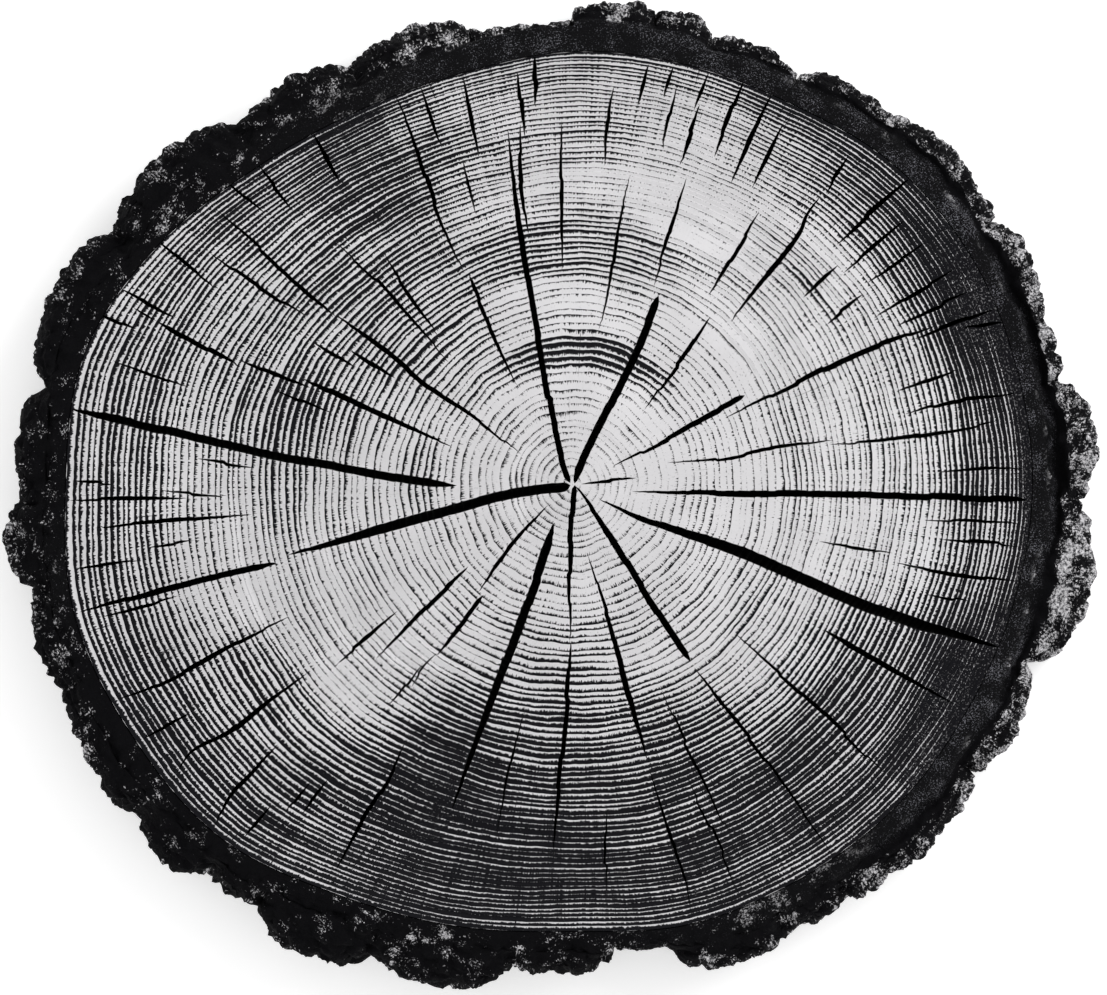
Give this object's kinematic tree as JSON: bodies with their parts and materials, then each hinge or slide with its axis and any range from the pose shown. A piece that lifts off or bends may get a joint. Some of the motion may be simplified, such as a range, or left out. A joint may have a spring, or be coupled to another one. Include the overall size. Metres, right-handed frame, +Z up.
{
  "type": "wood slice",
  "caption": "Round slice sawn across a tree trunk, with growth rings, radial drying cracks and a ring of rugged bark, lying flat as a board, base or stand.",
  "frame": {"origin": "under the middle of the slice's outline, on the surface that it lies on", "axes": "+Z up through the thickness, +X to the right of the picture along the longer way across, +Y to the top of the picture"},
  "size_m": [0.3321, 0.3001, 0.036],
  "materials": {
    "wood": "dry sawn end grain, matt, with dark growth rings and open cracks",
    "bark": "rough dry bark, nearly black, with paler worn crests"
  },
  "bodies": {
    "root": {"wood": "wood", "bark": "bark"}
  },
  "joints": []
}
